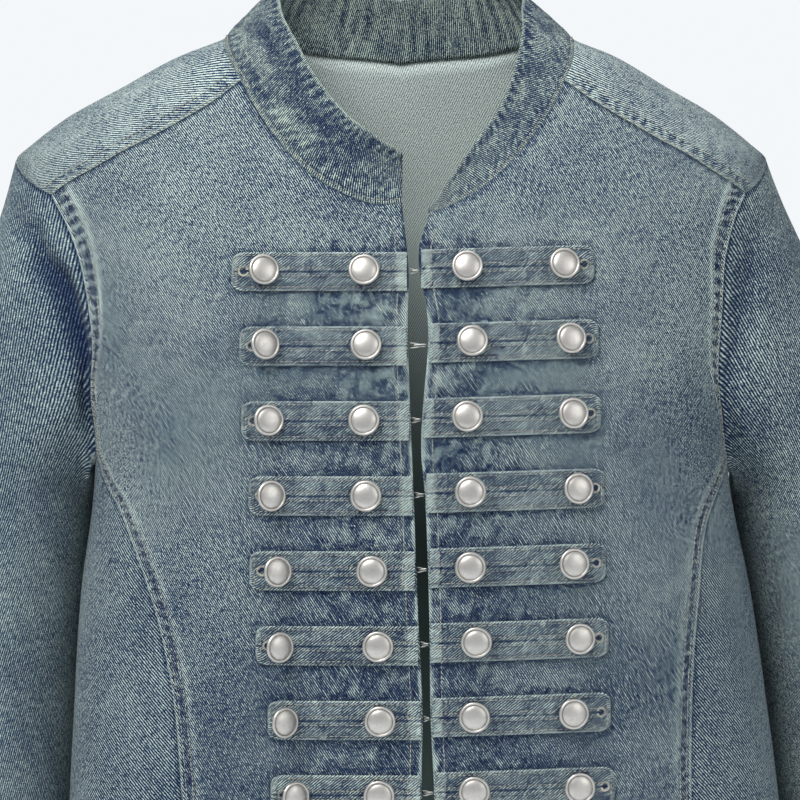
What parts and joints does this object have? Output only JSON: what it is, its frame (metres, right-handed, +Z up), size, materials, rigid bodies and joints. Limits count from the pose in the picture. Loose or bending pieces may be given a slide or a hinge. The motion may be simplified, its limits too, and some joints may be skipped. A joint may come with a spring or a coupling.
{
  "type": "denim band jacket, filled out as worn",
  "caption": "Hollow women's denim jacket with a stand collar, open front edges, set-in sleeves and rows of horizontal tabs with tack buttons across both fronts.",
  "frame": {"origin": "middle of the neck, level with the side neck points, where a wearer's neck and shoulders hold the jacket", "axes": "+X to the wearer's left, +Y from the front to the back, +Z up"},
  "size_m": [0.575, 0.2208, 0.6754],
  "materials": {
    "denim": "washed blue twill, matt",
    "tab_denim": "washed blue twill with faded edges, matt",
    "button_metal": "satin silver"
  },
  "bodies": {
    "root": {"front_right": "denim", "front_left": "denim", "side_right": "denim", "side_left": "denim", "back": "denim", "collar": "denim", "sleeve_right": "denim", "sleeve_left": "denim", "tab_right_1": "tab_denim", "button_right_inner_1": "button_metal", "button_right_outer_1": "button_metal", "tab_right_2": "tab_denim", "button_right_inner_2": "button_metal", "button_right_outer_2": "button_metal", "tab_right_3": "tab_denim", "button_right_inner_3": "button_metal", "button_right_outer_3": "button_metal", "tab_right_4": "tab_denim", "button_right_inner_4": "button_metal", "button_right_outer_4": "button_metal", "tab_right_5": "tab_denim", "button_right_inner_5": "button_metal", "button_right_outer_5": "button_metal", "tab_right_6": "tab_denim", "button_right_inner_6": "button_metal", "button_right_outer_6": "button_metal", "tab_right_7": "tab_denim", "button_right_inner_7": "button_metal", "button_right_outer_7": "button_metal", "tab_right_8": "tab_denim", "button_right_inner_8": "button_metal", "button_right_outer_8": "button_metal", "tab_left_1": "tab_denim", "button_left_inner_1": "button_metal", "button_left_outer_1": "button_metal", "tab_left_2": "tab_denim", "button_left_inner_2": "button_metal", "button_left_outer_2": "button_metal", "tab_left_3": "tab_denim", "button_left_inner_3": "button_metal", "button_left_outer_3": "button_metal", "tab_left_4": "tab_denim", "button_left_inner_4": "button_metal", "button_left_outer_4": "button_metal", "tab_left_5": "tab_denim", "button_left_inner_5": "button_metal", "button_left_outer_5": "button_metal", "tab_left_6": "tab_denim", "button_left_inner_6": "button_metal", "button_left_outer_6": "button_metal", "tab_left_7": "tab_denim", "button_left_inner_7": "button_metal", "button_left_outer_7": "button_metal", "tab_left_8": "tab_denim", "button_left_inner_8": "button_metal", "button_left_outer_8": "button_metal"}
  },
  "joints": []
}
